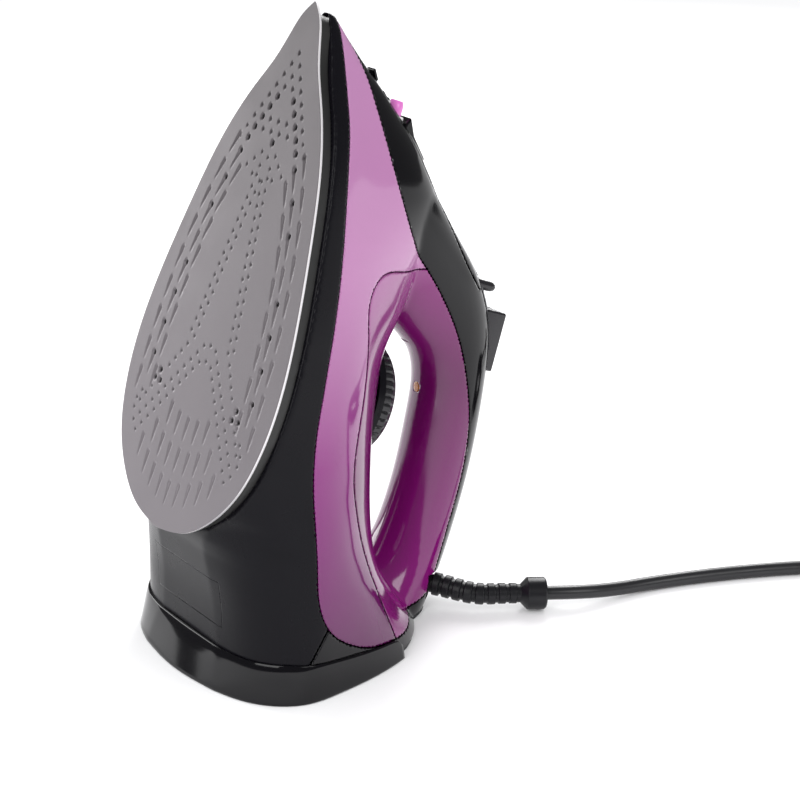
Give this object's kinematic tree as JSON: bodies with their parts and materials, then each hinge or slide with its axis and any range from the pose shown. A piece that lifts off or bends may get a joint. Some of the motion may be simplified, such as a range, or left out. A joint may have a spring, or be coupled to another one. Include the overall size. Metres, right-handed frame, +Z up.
{
  "type": "steam iron",
  "caption": "Steam iron standing on its heel: coated pointed soleplate, tinted water tank, closed loop handle, dial under it, buttons and lever on top, swivelling cord with coil and plug.",
  "frame": {"origin": "on the flat face of the heel that the iron stands on, 62 mm ahead of the point below the soleplate's tail, on the middle plane", "axes": "+Z up, +X from the soleplate side towards the handle side, +Y to the iron's right seen from its heel with the sole down; the cord leaves towards +X and -Y"},
  "size_m": [0.5189, 0.1964, 0.2881],
  "materials": {
    "sole_coating": "satin grey-mauve coating",
    "casting": "raw die casting",
    "element_steel": "steel tube",
    "shield_black": "matt black heat resisting",
    "control_parts": "plated steel and ceramic",
    "housing_black": "satin black",
    "panel_black": "satin black",
    "gloss_black": "gloss black",
    "tank_clear": "clear tinted pink to purple",
    "handle_purple": "deep purple gloss, clear moulded",
    "pod_grey": "satin dark grey",
    "button_black": "satin black",
    "dial_black": "satin black, knurled rim",
    "nozzle_pink": "pink gloss",
    "nozzle_white": "white",
    "lens_amber": "clear amber",
    "inner_plastic": "natural",
    "spring_steel": "wire",
    "screw_steel": "zinc plated",
    "cord_black": "matt black",
    "pin_metal": "nickel plated brass",
    "tie_black": "woven strap"
  },
  "bodies": {
    "iron": {"sole_sheet": "sole_coating", "sole_casting": "casting", "heating_element": "element_steel", "element_terminals": "element_steel", "steam_chamber_cover": "casting", "valve_seat": "pin_metal", "heat_shield": "shield_black", "thermostat_body": "control_parts", "thermal_fuse": "control_parts", "casting_screws": "screw_steel", "rating_panel": "panel_black", "skirt_shell": "housing_black", "swivel_cup": "housing_black", "rear_cover": "gloss_black", "heel_foot": "gloss_black", "heel_screws": "screw_steel", "water_tank": "tank_clear", "handle_shell": "handle_purple", "pilot_light": "lens_amber", "dial_bezel": "dial_black", "spray_nozzle": "nozzle_pink", "nozzle_seat": "nozzle_white", "door_pin": "screw_steel", "control_pod": "pod_grey", "top_strip": "gloss_black", "handle_cover": "gloss_black", "nozzle_hood": "gloss_black", "steam_pump": "inner_plastic", "steam_spring": "spring_steel", "spray_pump": "inner_plastic", "spray_spring": "spring_steel", "terminal_block": "inner_plastic", "cord_clamp": "inner_plastic"},
    "dial": {"thermostat_dial": "dial_black", "thermostat_shaft": "inner_plastic"},
    "steam_button": {"steam_button": "button_black", "steam_plunger": "inner_plastic"},
    "spray_button": {"spray_button": "button_black", "spray_plunger": "inner_plastic"},
    "steam_lever": {"steam_lever": "button_black", "valve_rod": "inner_plastic"},
    "filler_door": {"filler_door": "gloss_black"},
    "cord": {"cord_guard": "cord_black", "mains_cord": "cord_black", "plug_lead": "cord_black", "coil_tie": "tie_black", "cord_coil": "cord_black", "plug_body": "cord_black", "plug_pins": "pin_metal"}
  },
  "joints": [
    {"name": "dial_turn", "type": "hinge", "parent": "iron", "child": "dial", "pos_m": [0.03935, 0, 0.10906], "axis": [0.9323, 0, -0.3616], "range_deg": [0, 290]},
    {"name": "steam_button_press", "type": "slide", "parent": "iron", "child": "steam_button", "axis": [-0.9323, 0, 0.3616], "range_m": [0, 0.0035], "stiffness_N_per_m": 300, "springref_m": -0.002, "deforming": ["steam_spring"]},
    {"name": "spray_button_press", "type": "slide", "parent": "iron", "child": "spray_button", "axis": [-0.9323, 0, 0.3616], "range_m": [0, 0.0035], "stiffness_N_per_m": 300, "springref_m": -0.002, "deforming": ["spray_spring"]},
    {"name": "steam_lever_swing", "type": "hinge", "parent": "iron", "child": "steam_lever", "pos_m": [0.08548, 0, 0.17269], "axis": [0.9323, 0, -0.3616], "range_deg": [-26, 26]},
    {"name": "filler_door_open", "type": "hinge", "parent": "iron", "child": "filler_door", "pos_m": [0.05616, 0, 0.24205], "axis": [0, 1, 0], "range_deg": [0, 60]},
    {"name": "cord_swivel", "type": "hinge", "parent": "iron", "child": "cord", "pos_m": [0.056, 0, 0.0125], "axis": [0, 0, 1], "range_deg": [0, 70]}
  ]
}
